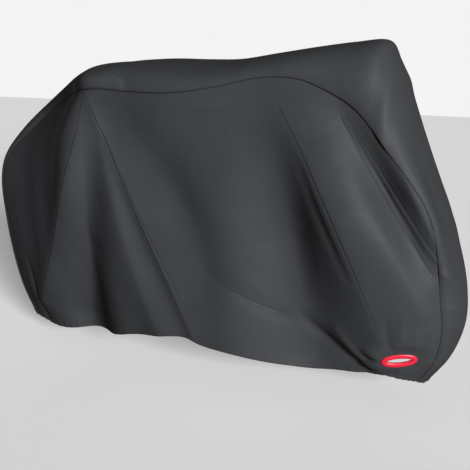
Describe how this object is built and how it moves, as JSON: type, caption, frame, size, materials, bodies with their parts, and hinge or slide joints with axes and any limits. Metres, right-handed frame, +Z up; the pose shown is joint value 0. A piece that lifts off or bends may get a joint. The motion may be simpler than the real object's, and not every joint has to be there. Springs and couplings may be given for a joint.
{
  "type": "bicycle cover",
  "caption": "Fitted cloth cover draped over a full-size bicycle, open below, with a tapered nose at each end and a red oval lock hole on each side near one lower corner.",
  "frame": {"origin": "under the top, on the centre plane, half way between the wheels of the bicycle that carries the cover, about 1.04 m above the ground", "axes": "+Z up, +X to the end with the lock holes, -Y to the near side of the picture"},
  "size_m": [1.7189, 0.5661, 1.0238],
  "materials": {
    "cloth": "smooth charcoal coated polyester, satin-matte, with soft folds",
    "ring": "moulded bright red plastic, slightly glossy"
  },
  "bodies": {
    "root": {"near_side_panel": "cloth", "far_side_panel": "cloth", "centre_band": "cloth", "near_lock_strip": "cloth", "far_lock_strip": "cloth", "near_eyelet_ring": "ring", "far_eyelet_ring": "ring"}
  },
  "joints": []
}
